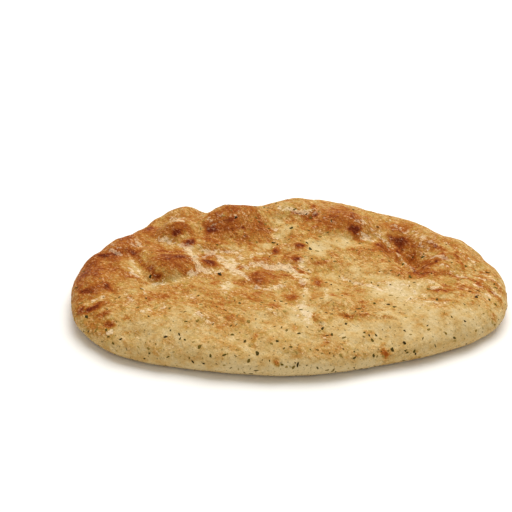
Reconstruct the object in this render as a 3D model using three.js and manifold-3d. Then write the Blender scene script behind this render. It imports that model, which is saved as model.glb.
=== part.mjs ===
// A plump oval naan with herbs kneaded into the dough, lying on its flat underside.
// Millimetres, +Z up, +X along the long axis, the front of the bread towards -Y.
// The origin is under the middle of the bread, on the surface that it lies on.
import * as THREE from "three";
import { mergeVertices } from "three/addons/utils/BufferGeometryUtils.js";
import Module from "manifold-3d";

const wasm = await Module();
wasm.setup();

// Seen from above the bread is a blunt oval, pulled out of round by hand.
// A lobe is its direction in degrees from +X, its reach past the oval and its spread in degrees.
const OVAL = { halfLength: 116.8, halfWidth: 82.4, squareness: 2.07 };
const LOBES = [
  { at: -148, reach: 9.5, spread: 20 },
  { at: -51, reach: -4.5, spread: 28 },
  { at: -17, reach: 5, spread: 16 },
  { at: 28, reach: -6.5, spread: 13 },
  { at: 36, reach: 3, spread: 6 },
  { at: 62, reach: 4.5, spread: 8 },
  { at: 78, reach: 7, spread: 13 },
  { at: 92, reach: 3, spread: 8 },
  { at: 123, reach: -3, spread: 5 },
  { at: 138, reach: 7, spread: 10 },
  { at: 155, reach: -7.5, spread: 17 },
];

// Cut through, the rim rolls over from the crown to its widest line and tucks in to a flat foot.
const MIDDLE_HEIGHT = 15;
const CROWN_HEIGHT = 19.5;
const CROWN_SHARE = 0.72; // how far out the crown lies, as a share of the reach
const WIDEST_HEIGHT = 8;
const ROLL_WIDTH = 30;
const FOOT_INSET = 8;
const SIDE_LIFT = 0.35; // share of the relief that is left at the widest line

// A blister is a dome and a hollow is a soft dip, each an oval turned in the plane, in degrees.
const BLISTERS = [
  { x: -32, y: 47, long: 25, wide: 22, turn: 0, rise: 8 },
  { x: 31, y: 46, long: 25, wide: 15, turn: -10, rise: 6 },
  { x: 3, y: 61, long: 23, wide: 13, turn: 3, rise: 5.5 },
  { x: -64, y: 36, long: 15, wide: 12, turn: 10, rise: 5 },
  { x: -63, y: -4, long: 18, wide: 15, turn: 0, rise: 6.5 },
  { x: -64, y: 60, long: 13, wide: 12, turn: 8, rise: 4.5 },
  { x: -96, y: 18, long: 24, wide: 12, turn: 55, rise: 3 },
  { x: -105, y: -14, long: 12, wide: 20, turn: 0, rise: 2 },
  { x: -9, y: -11, long: 19, wide: 11, turn: -10, rise: 3.2 },
  { x: -13, y: 10, long: 12, wide: 8, turn: 0, rise: 1.8 },
  { x: -44, y: 2, long: 8, wide: 7, turn: 0, rise: 2.4 },
  { x: 92, y: 33, long: 26, wide: 20, turn: -40, rise: 3.5 },
  { x: 6, y: 25, long: 9, wide: 6, turn: 0, rise: 1.6 },
  { x: 3, y: 12, long: 8, wide: 6, turn: 0, rise: 1.8 },
  { x: 15, y: -15, long: 9, wide: 6, turn: 0, rise: 1.4 },
  { x: 1, y: -31, long: 9, wide: 6, turn: 0, rise: 1.2 },
];
const HOLLOWS = [
  { x: 66, y: 17, long: 24, wide: 13, turn: 108, depth: 8 },
  { x: -84, y: 0, long: 19, wide: 7, turn: 118, depth: 4 },
  { x: -70, y: -19, long: 13, wide: 5, turn: 8, depth: 2 },
  { x: -53, y: 15, long: 24, wide: 8, turn: -20, depth: 2.5 },
  { x: 15, y: -4, long: 45, wide: 22, turn: 0, depth: 1.5 },
  { x: -50, y: 62, long: 5, wide: 14, turn: 0, depth: 3.5 },
  { x: -37, y: 17, long: 13, wide: 5, turn: 5, depth: 2 },
  { x: 62, y: 32, long: 9, wide: 6, turn: -50, depth: 3.5 },
];

// A fold is a furrow along the arc through three points, with a lip on its outer (1) or inner (-1) side.
const FOLDS = [
  { from: [56, 36], via: [62, 13], to: [73, -3], width: 3.5, depth: 2.2, lip: 1.6, side: 1 },
  { from: [34, 0], via: [60, -9], to: [86, 1], width: 4, depth: 0.9, lip: 1.1, side: 1 },
  { from: [13, -52], via: [29, -42], to: [52, -47], width: 3.5, depth: 1.3, lip: 1, side: -1 },
  { from: [-106, 1], via: [-98, 8], to: [-87, 8], width: 4, depth: 1.5, lip: 0.8, side: 1 },
];
const FOLD_FADE = 0.25; // share of a fold's length over which each end runs out

// Slow swells of the whole skin: waves whose length shrinks and whose direction turns from one to the next.
const SWELLS = { count: 9, longest: 62, shortest: 17, rise: 0.5, turn: 137.5 };

// The largest flakes of herb stand a little proud of the skin.
// A flake is a six-sided chip; where it lies comes from two even, never repeating fractions.
const FLAKES = { count: 64, edge: 0.93, longest: 2.9, shortest: 1.5, slimness: 0.5, thick: 1.2, proud: 0.35 };
const STEP_U = 0.7548776662;
const STEP_V = 0.569840291;
const STEP_SIZE = 0.6180339887;

const CELLS_LONG = 72;
const CELLS_WIDE = 52;
const PROBE = 0.002; // step in the sheet's own unit over which its normal is taken

const radians = THREE.MathUtils.degToRad;
const fraction = (value) => value - Math.floor(value);

// Reach of the outline from the middle in one direction.
function reachAt(angle) {
  const { halfLength, halfWidth, squareness } = OVAL;
  const along = Math.abs(Math.cos(angle) / halfLength) ** squareness;
  const across = Math.abs(Math.sin(angle) / halfWidth) ** squareness;
  const oval = (along + across) ** (-1 / squareness);
  return LOBES.reduce((reach, lobe) => {
    const away = THREE.MathUtils.euclideanModulo(THREE.MathUtils.radToDeg(angle) - lobe.at + 180, 360) - 180;
    return reach + lobe.reach * Math.exp(-((away / lobe.spread) ** 2));
  }, oval);
}

// Distance from an oval's middle, 1 on its outline.
function ovalDistance(x, y, oval) {
  const turn = radians(oval.turn);
  const dx = x - oval.x;
  const dy = y - oval.y;
  const along = dx * Math.cos(turn) + dy * Math.sin(turn);
  const across = dy * Math.cos(turn) - dx * Math.sin(turn);
  return Math.hypot(along / oval.long, across / oval.wide);
}

// The circle through a fold's three points, with the angle that it starts at and the angle that it sweeps.
function circleThrough({ from, via, to }) {
  const [ax, ay, bx, by] = [via[0] - from[0], via[1] - from[1], to[0] - from[0], to[1] - from[1]];
  const cross = 2 * (ax * by - ay * bx);
  const [a2, b2] = [ax * ax + ay * ay, bx * bx + by * by];
  const x = from[0] + (by * a2 - ay * b2) / cross;
  const y = from[1] + (ax * b2 - bx * a2) / cross;
  const start = Math.atan2(from[1] - y, from[0] - x);
  const end = Math.atan2(to[1] - y, to[0] - x);
  const full = 2 * Math.PI;
  const sweep = cross > 0 ? THREE.MathUtils.euclideanModulo(end - start, full)
    : -THREE.MathUtils.euclideanModulo(start - end, full);
  return { x, y, radius: Math.hypot(from[0] - x, from[1] - y), start, sweep };
}

const foldArcs = FOLDS.map((fold) => ({ ...fold, ...circleThrough(fold) }));

function foldRise(x, y, fold) {
  const turned = (Math.atan2(y - fold.y, x - fold.x) - fold.start) * Math.sign(fold.sweep);
  const share = (THREE.MathUtils.euclideanModulo(turned + Math.PI, 2 * Math.PI) - Math.PI) / Math.abs(fold.sweep);
  const fade = THREE.MathUtils.smoothstep(Math.min(share, 1 - share), 0, FOLD_FADE);
  const off = (Math.hypot(x - fold.x, y - fold.y) - fold.radius) * fold.side;
  const furrow = fold.depth * Math.exp(-((off / fold.width) ** 2));
  const lip = fold.lip * Math.exp(-((off / fold.width - 1.8) ** 2));
  return fade * (lip - furrow);
}

// How far blisters, hollows, folds and swells lift the skin at one place.
function reliefAt(x, y) {
  let rise = 0;
  for (const blister of BLISTERS) {
    const inside = Math.max(0, 1 - ovalDistance(x, y, blister) ** 2);
    rise += blister.rise * inside ** 1.5;
  }
  for (const hollow of HOLLOWS) {
    rise -= hollow.depth * Math.exp(-1.5 * ovalDistance(x, y, hollow) ** 2);
  }
  for (const fold of foldArcs) {
    rise += foldRise(x, y, fold);
  }
  for (let i = 0; i < SWELLS.count; i++) {
    const wave = SWELLS.longest * (SWELLS.shortest / SWELLS.longest) ** (i / (SWELLS.count - 1));
    const turn = radians(SWELLS.turn * i);
    const along = x * Math.cos(turn) + y * Math.sin(turn);
    rise += SWELLS.rise * Math.sqrt(wave / SWELLS.longest) * Math.sin((2 * Math.PI * along) / wave + i);
  }
  return rise;
}

// A place on the square sheet, u and v from -1 to 1, as its ring, 0 in the middle and 1 at the edge, and its angle.
function squareToRing(u, v) {
  const ring = Math.max(Math.abs(u), Math.abs(v));
  if (ring === 0) return { ring, angle: 0 };
  const quarter = Math.PI / 4;
  const angle = Math.abs(u) >= Math.abs(v)
    ? (quarter * v) / u + (u < 0 ? Math.PI : 0)
    : Math.PI / 2 - (quarter * u) / v + (v < 0 ? Math.PI : 0);
  return { ring, angle };
}

// The sheet covers top and side: from the middle out to the crown, round the roll and under to the foot.
function skinAt(u, v) {
  const { ring, angle } = squareToRing(u, v);
  const reach = reachAt(angle);
  const flat = reach - ROLL_WIDTH;
  const rollLength = 1.2 * ROLL_WIDTH;
  const footLength = 1.6 * FOOT_INSET;
  const along = ring * (flat + rollLength + footLength);
  const roll = THREE.MathUtils.clamp((along - flat) / rollLength, 0, 1) * (Math.PI / 2);
  const foot = THREE.MathUtils.clamp((along - flat - rollLength) / footLength, 0, 1) * (Math.PI / 2);
  const radius = Math.min(along, flat) + ROLL_WIDTH * Math.sin(roll) - FOOT_INSET * (1 - Math.cos(foot));
  const x = radius * Math.cos(angle);
  const y = radius * Math.sin(angle);

  const outwards = Math.min(1, radius / reach / CROWN_SHARE);
  const top = MIDDLE_HEIGHT + (CROWN_HEIGHT - MIDDLE_HEIGHT) * Math.sin(outwards * Math.PI / 2) ** 2;
  const z = WIDEST_HEIGHT * (1 - Math.sin(foot)) + (top - WIDEST_HEIGHT) * Math.cos(roll);

  // The relief lifts the skin along the normal of the roll's and the foot's quarter ovals.
  const out = foot > 0 ? Math.cos(foot) / FOOT_INSET : Math.sin(roll) / ROLL_WIDTH;
  const up = foot > 0 ? -Math.sin(foot) / WIDEST_HEIGHT : Math.cos(roll) / (top - WIDEST_HEIGHT);
  const share = (1 - Math.sin(foot)) * THREE.MathUtils.lerp(SIDE_LIFT, 1, Math.cos(roll));
  const lift = (reliefAt(x, y) * share) / Math.hypot(out, up);
  return new THREE.Vector3(x + lift * out * Math.cos(angle), y + lift * out * Math.sin(angle), Math.max(0, z + lift * up));
}

// The closed dough: the sheet's grid, then a flat underside from the sheet's edge in to one middle point.
function doughGeometry() {
  const points = [];
  const faces = [];
  const index = (i, j) => i * (CELLS_WIDE + 1) + j;
  for (let i = 0; i <= CELLS_LONG; i++) {
    for (let j = 0; j <= CELLS_WIDE; j++) {
      const place = skinAt((2 * i) / CELLS_LONG - 1, (2 * j) / CELLS_WIDE - 1);
      points.push(place.x, place.y, place.z);
    }
  }
  for (let i = 0; i < CELLS_LONG; i++) {
    for (let j = 0; j < CELLS_WIDE; j++) {
      const [a, b, c, d] = [index(i, j), index(i + 1, j), index(i + 1, j + 1), index(i, j + 1)];
      // each cell is split along the diagonal that runs with the rings
      if ((i < CELLS_LONG / 2) === (j < CELLS_WIDE / 2)) faces.push(a, b, d, b, c, d);
      else faces.push(a, b, c, a, c, d);
    }
  }
  const edge = [];
  for (let i = 0; i < CELLS_LONG; i++) edge.push(index(i, 0));
  for (let j = 0; j < CELLS_WIDE; j++) edge.push(index(CELLS_LONG, j));
  for (let i = CELLS_LONG; i > 0; i--) edge.push(index(i, CELLS_WIDE));
  for (let j = CELLS_WIDE; j > 0; j--) edge.push(index(0, j));
  const middle = points.length / 3;
  points.push(0, 0, 0);
  edge.forEach((corner, k) => faces.push(edge[(k + 1) % edge.length], corner, middle));
  return new THREE.BufferGeometry()
    .setAttribute("position", new THREE.Float32BufferAttribute(points, 3))
    .setIndex(faces);
}

// One chip of herb, lying in the skin with its long side turned by its own fraction.
function flakeGeometry(i) {
  const u = FLAKES.edge * (2 * fraction(0.5 + i * STEP_U) - 1);
  const v = FLAKES.edge * (2 * fraction(0.5 + i * STEP_V) - 1);
  const place = skinAt(u, v);
  const alongU = skinAt(u + PROBE, v).sub(place);
  const alongV = skinAt(u, v + PROBE).sub(place);
  const normal = alongU.cross(alongV).normalize();

  const size = fraction(i * STEP_SIZE);
  const length = THREE.MathUtils.lerp(FLAKES.shortest, FLAKES.longest, size ** 2);
  const chip = new THREE.CylinderGeometry(0.5, 0.5, FLAKES.thick, 6);
  chip.scale(length, 1, length * FLAKES.slimness).rotateY(2 * Math.PI * size);
  chip.applyQuaternion(new THREE.Quaternion().setFromUnitVectors(new THREE.Vector3(0, 1, 0), normal));
  const middle = place.addScaledVector(normal, FLAKES.proud - FLAKES.thick / 2);
  return chip.translate(middle.x, middle.y, middle.z);
}

function solidOf(geometry) {
  geometry.deleteAttribute("normal");
  geometry.deleteAttribute("uv");
  const merged = mergeVertices(geometry);
  return new wasm.Manifold(
    new wasm.Mesh({
      numProp: 3,
      vertProperties: merged.attributes.position.array,
      triVerts: new Uint32Array(merged.index.array),
    }),
  );
}

function geometryOf(solid) {
  const mesh = solid.getMesh();
  return new THREE.BufferGeometry()
    .setAttribute("position", new THREE.BufferAttribute(mesh.vertProperties, 3))
    .setIndex(new THREE.BufferAttribute(mesh.triVerts, 1));
}

function makeNaan() {
  let bread = solidOf(doughGeometry());
  for (let i = 0; i < FLAKES.count; i++) {
    bread = bread.add(solidOf(flakeGeometry(i)));
  }
  const geometry = geometryOf(bread);
  geometry.computeBoundingBox();
  const middle = geometry.boundingBox.getCenter(new THREE.Vector3());
  geometry.translate(-middle.x, -middle.y, -geometry.boundingBox.min.z);

  const crust = new THREE.MeshStandardMaterial({ color: 0xcfa061, roughness: 0.75, metalness: 0 });
  const naan = new THREE.Mesh(geometry, crust);
  naan.name = "naan";
  return naan;
}

const group = new THREE.Group();
group.add(makeNaan());
export default group;
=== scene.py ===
import bpy
import numpy as np
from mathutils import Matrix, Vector


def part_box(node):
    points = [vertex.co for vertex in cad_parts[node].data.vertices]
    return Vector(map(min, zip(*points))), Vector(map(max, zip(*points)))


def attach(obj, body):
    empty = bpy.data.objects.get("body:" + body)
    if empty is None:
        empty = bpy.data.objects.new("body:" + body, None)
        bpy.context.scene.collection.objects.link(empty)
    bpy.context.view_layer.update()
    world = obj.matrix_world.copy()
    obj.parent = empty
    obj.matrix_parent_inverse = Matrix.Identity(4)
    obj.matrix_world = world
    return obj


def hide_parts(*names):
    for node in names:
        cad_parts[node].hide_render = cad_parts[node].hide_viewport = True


# A plump oval naan with herbs in the dough, on a pale floor.
# Lengths are millimetres where shapes are made and metres in the look, the studio and the shot, as in
# the meshes themselves; angles are degrees.
mm = 0.001

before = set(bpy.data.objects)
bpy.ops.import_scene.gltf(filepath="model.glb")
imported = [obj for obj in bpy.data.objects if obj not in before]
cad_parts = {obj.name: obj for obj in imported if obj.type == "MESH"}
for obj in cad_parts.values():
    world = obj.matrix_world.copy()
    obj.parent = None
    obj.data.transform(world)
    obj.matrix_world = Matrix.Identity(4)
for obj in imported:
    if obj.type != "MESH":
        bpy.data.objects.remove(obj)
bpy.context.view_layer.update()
naanBox = np.array([list(corner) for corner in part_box("naan")]) / mm
print("frame loaded, the naan is", np.round(naanBox[1] - naanBox[0], 1), "mm")


def smoothStep(t):
    # 3t^2 - 2t^3, held at 0 and 1 outside
    t = np.clip(t, 0, 1)
    return t * t * (3 - 2 * t)


def cornerValue(x, y, z, seed):
    # one fixed number from -1 to 1 for each whole-number corner, by mixing the bits of its place
    bits = (x * 374761393 + y * 668265263 + z * 1440670441 + seed * 1274126177) & 0xFFFFFFFF
    bits = ((bits ^ (bits >> 13)) * 1274126177) & 0xFFFFFFFF
    bits = bits ^ (bits >> 16)
    return (bits & 0xFFFF) / 32767.5 - 1


def mottle(points, size, seed):
    # smooth noise from -1 to 1 with lumps of about one size: corner values blended by smooth steps
    scaled = points / size
    low = np.floor(scaled).astype(np.int64)
    t = smoothStep(scaled - low)
    total = 0
    for corner in np.ndindex(2, 2, 2):
        weight = np.prod(np.where(corner, t, 1 - t), axis=-1)
        place = low + corner
        total = total + weight * cornerValue(place[..., 0], place[..., 1], place[..., 2], seed)
    return total


def layered(points, size, seed, layers=3):
    # mottle at halving sizes and halving strengths
    return sum(mottle(points, size / 2**i, seed + i) / 2**i for i in range(layers))


def turned(x, y, degrees):
    # x and y as lengths along a direction and across it; numbers, arrays and wires alike
    turn = np.radians(degrees)
    return x * np.cos(turn) + y * np.sin(turn), y * np.cos(turn) - x * np.sin(turn)


def bell(angle, at, spread):
    # exp(-(d / spread)^2), d being the degrees from one direction
    away = (np.degrees(angle) - at + 180) % 360 - 180
    return np.exp(-((away / spread) ** 2))


dough = {
    "halfLength": 116.8,
    "halfWidth": 82.4,
    "squareness": 2.07,
    # a lobe of the outline: direction, reach past the oval, spread
    "lobes": [(-148, 9.5, 20), (-51, -4.5, 28), (-17, 5, 16), (28, -6.5, 13), (36, 3, 6), (62, 4.5, 8),
              (78, 7, 13), (92, 3, 8), (123, -3, 5), (138, 7, 10), (155, -7.5, 17)],
    "middleHeight": 15,
    "crownHeight": 19.5,
    "crownShare": 0.72,
    "widestHeight": 8,
    "rollWidth": 30,
    "footInset": 8,
    "rollStretch": 1.2,  # length of the roll along the skin, in roll widths
    "footStretch": 1.6,
    "sideLift": 0.35,
    # a blister: middle x and y, half length, half width, turn, rise
    "blisters": [(-32, 47, 25, 22, 0, 8), (31, 46, 25, 15, -10, 6), (3, 61, 23, 13, 3, 5.5),
                 (-64, 36, 15, 12, 10, 5), (-63, -4, 18, 15, 0, 6.5), (-64, 60, 13, 12, 8, 4.5),
                 (-96, 18, 24, 12, 55, 3), (-105, -14, 12, 20, 0, 2), (-9, -11, 19, 11, -10, 3.2),
                 (-13, 10, 12, 8, 0, 1.8), (-44, 2, 8, 7, 0, 2.4), (92, 33, 26, 20, -40, 3.5),
                 (6, 25, 9, 6, 0, 1.6), (3, 12, 8, 6, 0, 1.8), (15, -15, 9, 6, 0, 1.4),
                 (1, -31, 9, 6, 0, 1.2)],
    # a hollow: the same, with its depth last
    "hollows": [(66, 17, 24, 13, 108, 8), (-84, 0, 19, 7, 118, 4), (-70, -19, 13, 5, 8, 2),
                (-53, 15, 24, 8, -20, 2.5), (15, -4, 45, 22, 0, 1.5), (-50, 62, 5, 14, 0, 3.5),
                (-37, 17, 13, 5, 5, 2), (62, 32, 9, 6, -50, 3.5)],
    # a fold: three points of its arc, width, depth, lip, lip outside (1) or inside (-1) the arc
    "folds": [((56, 36), (62, 13), (73, -3), 3.5, 2.2, 1.6, 1),
              ((34, 0), (60, -9), (86, 1), 4, 0.9, 1.1, 1),
              ((13, -52), (29, -42), (52, -47), 3.5, 1.3, 1, -1),
              ((-106, 1), (-98, 8), (-87, 8), 4, 1.5, 0.8, 1)],
    "foldFade": 0.25,  # share of a fold's length over which each end runs out
    "lipPlace": 1.8,  # widths from the furrow to the lip
    "swells": 9,
    "longestSwell": 62,
    "shortestSwell": 17,
    "swellRise": 0.5,
    "swellTurn": 137.5,
    # crinkles finer than the solid's: lump size and rise
    "crinkleSize": 9,
    "crinkleRise": 0.45,
    # crinkles that run along the rim: rise, how many to a radian, width, and the band that has them
    "rimCrinkle": 0.5,
    "rimCrinkleSteps": 4,
    "rimCrinkleWidth": 5,
    "rimBandMiddle": 6,
    "rimBandSpread": 20,
    # creases finer than the solid's: points on the unrolled sheet, half width, rise (a furrow's is below 0)
    "creases": [
        ([(60, 29), (63, 23), (66, 16), (68.5, 9), (70, 3), (71, -2)], 1.3, 0.8),
        ([(64, 27), (67, 19), (70.5, 11), (72, 3), (73, -5)], 2.2, -1.4),
        ([(46, 3), (50, -4), (58, -8), (66, -9.6), (75, -8.6), (84, -7), (92, -7)], 1.5, -0.7),
        ([(50, -1), (58, -5), (66, -6.6), (75, -5.6), (84, -4)], 1.8, 0.5),
        ([(25, -49), (31, -49.6), (38, -49.2), (46, -49.2), (54, -50)], 1.2, -1.0),
        ([(26, -46), (34, -46), (44, -46), (52, -47.5)], 1.8, 0.4),
        ([(22, -38), (17.4, -42), (14, -47), (12.6, -53), (16, -57.6)], 1.2, -1.2),
        ([(-80, -12), (-75, -15.5), (-69, -17), (-60, -17), (-53, -14)], 1.3, -0.8),
        ([(-50, 30), (-42, 27.4), (-30, 28), (-18, 28), (-11, 31)], 1.4, -0.5),
        ([(14, 36), (24, 33), (34, 31), (44, 33)], 1.4, -0.5),
        ([(74, 3), (80, 4), (86, 7), (92, 9)], 1.3, -0.7),
        ([(-24, -2), (-15, 0.4), (-5, 1), (1, 0), (5, -6)], 1.2, -0.4),
    ],
    "cellsLong": 320,
    "cellsWide": 240,
    "underRings": 12,
    "underUneven": 0.5,
    "underLumps": 16,
    "underRunIn": 0.25,  # share of the way in over which the unevenness starts
    "underMark": 400,  # height that tells the underside's unrolled places from the sheet's, which is 0
    "flakeMargin": 0.4,  # room that the flakes need inside the solid's box
}


def reachAt(angle):
    # a superellipse's radius, with a bell of each lobe's reach added round its direction
    n = dough["squareness"]
    along = np.abs(np.cos(angle) / dough["halfLength"]) ** n
    across = np.abs(np.sin(angle) / dough["halfWidth"]) ** n
    reach = (along + across) ** (-1 / n)
    for at, out, spread in dough["lobes"]:
        reach = reach + out * bell(angle, at, spread)
    return reach


def ovalDistance(x, y, oval):
    # distance from an oval's middle, 1 on its outline
    middleX, middleY, long, wide, turn = oval[:5]
    along, across = turned(x - middleX, y - middleY, turn)
    return np.hypot(along / long, across / wide)


def pathDistance(x, y, path):
    # distance from the nearest of the straight pieces that join the path's points
    nearest = np.full_like(x, 1e6)
    for start, end in zip(path[:-1], path[1:]):
        dx, dy = end[0] - start[0], end[1] - start[1]
        t = np.clip(((x - start[0]) * dx + (y - start[1]) * dy) / (dx * dx + dy * dy), 0, 1)
        nearest = np.minimum(nearest, np.hypot(x - start[0] - t * dx, y - start[1] - t * dy))
    return nearest


def foldRise(x, y, fold):
    # a furrow exp(-d^2) along the arc and a lip exp(-(d - place)^2) beside it, d in widths from the arc
    (x0, y0), (x1, y1), (x2, y2), width, depth, lip, side = fold
    ax, ay, bx, by = x1 - x0, y1 - y0, x2 - x0, y2 - y0
    cross = 2 * (ax * by - ay * bx)
    a2, b2 = ax * ax + ay * ay, bx * bx + by * by
    middleX = x0 + (by * a2 - ay * b2) / cross
    middleY = y0 + (ax * b2 - bx * a2) / cross
    way = np.sign(cross)
    start = np.arctan2(y0 - middleY, x0 - middleX)
    sweep = ((np.arctan2(y2 - middleY, x2 - middleX) - start) * way) % (2 * np.pi)
    swept = ((np.arctan2(y - middleY, x - middleX) - start) * way + np.pi) % (2 * np.pi) - np.pi
    share = swept / sweep
    fade = smoothStep(np.minimum(share, 1 - share) / dough["foldFade"])
    d = (np.hypot(x - middleX, y - middleY) - np.hypot(x0 - middleX, y0 - middleY)) * side / width
    return fade * (lip * np.exp(-((d - dough["lipPlace"]) ** 2)) - depth * np.exp(-(d**2)))


def mainRelief(x, y):
    # the same blisters, hollows, folds and swells as the solid has: a blister is rise (1 - d^2)^1.5 and
    # a hollow depth exp(-1.5 d^2), d being 1 on its oval, and a swell is a sine along its direction
    rise = np.zeros_like(x)
    for blister in dough["blisters"]:
        rise += blister[5] * np.maximum(0, 1 - ovalDistance(x, y, blister) ** 2) ** 1.5
    for hollow in dough["hollows"]:
        rise -= hollow[5] * np.exp(-1.5 * ovalDistance(x, y, hollow) ** 2)
    for fold in dough["folds"]:
        rise += foldRise(x, y, fold)
    shrink = dough["shortestSwell"] / dough["longestSwell"]
    for i in range(dough["swells"]):
        wave = dough["longestSwell"] * shrink ** (i / (dough["swells"] - 1))
        along = turned(x, y, dough["swellTurn"] * i)[0]
        size = dough["swellRise"] * np.sqrt(wave / dough["longestSwell"])
        rise += size * np.sin(2 * np.pi * along / wave + i)
    return rise


def squareToRing(u, v):
    # a square sheet, -1 to 1 each way, as ring 0 to 1 and angle: the ring is the larger of |u| and |v|
    ring = np.maximum(np.abs(u), np.abs(v))
    u = np.where(u == 0, 1e-12, u)
    v = np.where(v == 0, 1e-12, v)
    ends = np.pi / 4 * v / u + np.where(u < 0, np.pi, 0)
    sides = np.pi / 2 - np.pi / 4 * u / v + np.where(v < 0, np.pi, 0)
    return ring, np.where(np.abs(u) >= np.abs(v), ends, sides)


def sheetLengths(angle):
    # lengths along the sheet from the middle to the foot: the flat part, the rim's roll and the foot
    flat = reachAt(angle) - dough["rollWidth"]
    return flat, dough["rollStretch"] * dough["rollWidth"], dough["footStretch"] * dough["footInset"]


def sheetPlace(x, y):
    # the square sheet's u and v of a place on the unrolled sheet, squareToRing the other way round
    angle = np.arctan2(y, x)
    flat, rollLength, footLength = sheetLengths(angle)
    ring = np.hypot(x, y) / (flat + rollLength + footLength)
    quarter = (angle / (np.pi / 2) + 0.5) % 4
    side = np.floor(quarter)
    part = ring * ((quarter - side) * 2 - 1)
    u = np.select([side == 0, side == 1, side == 2], [ring, -part, -ring], part)
    v = np.select([side == 0, side == 1, side == 2], [part, ring, -part], -ring)
    return u, v


def skin(u, v):
    # the sheet from the middle over the crown, round the rim's roll and under to the foot:
    # radius = flat + roll sin(a) - inset (1 - cos(b)), z = widest (1 - sin(b)) + (top - widest) cos(a),
    # with the relief added along the normal; returns the place and the place unrolled flat
    ring, angle = squareToRing(u, v)
    reach = reachAt(angle)
    rollWidth, footInset, widest = dough["rollWidth"], dough["footInset"], dough["widestHeight"]
    flat, rollLength, footLength = sheetLengths(angle)
    along = ring * (flat + rollLength + footLength)
    a = np.clip((along - flat) / rollLength, 0, 1) * np.pi / 2
    b = np.clip((along - flat - rollLength) / footLength, 0, 1) * np.pi / 2
    radius = np.minimum(along, flat) + rollWidth * np.sin(a) - footInset * (1 - np.cos(b))
    x, y = radius * np.cos(angle), radius * np.sin(angle)
    crown = np.sin(np.minimum(1, radius / reach / dough["crownShare"]) * np.pi / 2) ** 2
    top = dough["middleHeight"] + (dough["crownHeight"] - dough["middleHeight"]) * crown
    z = widest * (1 - np.sin(b)) + (top - widest) * np.cos(a)

    out = np.where(b > 0, np.cos(b) / footInset, np.sin(a) / rollWidth)
    up = np.where(b > 0, -np.sin(b) / widest, np.cos(a) / (top - widest))
    out, up = out / np.hypot(out, up), up / np.hypot(out, up)
    share = (1 - np.sin(b)) * (dough["sideLift"] + (1 - dough["sideLift"]) * np.cos(a))
    flatX, flatY = along * np.cos(angle), along * np.sin(angle)
    unrolled = np.stack([flatX, flatY, 0 * flatX], axis=-1)
    crinkle = dough["crinkleRise"] * layered(unrolled, dough["crinkleSize"], 11)
    # crinkles that run along the rim: noise over long steps round it and short steps across it
    past = along - flat
    around, inOut = angle * dough["rimCrinkleSteps"], past / dough["rimCrinkleWidth"]
    rimPlace = np.stack([around, inOut, 0 * along], axis=-1)
    rimBand = np.exp(-(((past - dough["rimBandMiddle"]) / dough["rimBandSpread"]) ** 2))
    crinkle += dough["rimCrinkle"] * rimBand * mottle(rimPlace, 1, 31)
    for path, width, rise in dough["creases"]:
        crinkle += rise * np.exp(-((pathDistance(flatX, flatY, path) / width) ** 2))
    lift = mainRelief(x, y) * share + crinkle * (1 - np.sin(b))
    x = x + lift * out * np.cos(angle)
    y = y + lift * out * np.sin(angle)
    return np.stack([x, y, np.maximum(0, z + lift * up)], axis=-1), unrolled


def sheetGrid():
    u = np.linspace(-1, 1, dough["cellsLong"] + 1)
    v = np.linspace(-1, 1, dough["cellsWide"] + 1)
    return np.meshgrid(u, v, indexing="ij")


sheetU, sheetV = sheetGrid()
sheet, unrolledSheet = skin(sheetU, sheetV)
sheetLow = sheet.reshape(-1, 3).min(axis=0)
sheetHigh = sheet.reshape(-1, 3).max(axis=0)


def intoBox(points):
    # stretched by less than one part in a hundred to fill the solid's box, less the flakes' margin
    low = naanBox[0] + np.array([1, 1, 0]) * dough["flakeMargin"]
    high = naanBox[1] - dough["flakeMargin"]
    return low + (points - sheetLow) / (sheetHigh - sheetLow) * (high - low)


def meshPiece(name, points, faces):
    mesh = bpy.data.meshes.new(name)
    mesh.from_pydata((points * mm).tolist(), [], faces)
    mesh.polygons.foreach_set("use_smooth", np.ones(len(mesh.polygons), dtype=bool))
    mesh.update()
    piece = bpy.data.objects.new(name, mesh)
    bpy.context.scene.collection.objects.link(piece)
    return piece


def paintPoints(piece, name, values):
    attribute = piece.data.attributes.new(name, "FLOAT", "POINT")
    attribute.data.foreach_set("value", values.astype(np.float32).ravel())


def edgeLoop(numbers):
    # the border of the sheet's grid of point numbers as one loop, counter-clockwise seen from above
    return np.concatenate([numbers[:-1, 0], numbers[-1, :-1], numbers[:0:-1, -1], numbers[0, :0:-1]])


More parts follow.
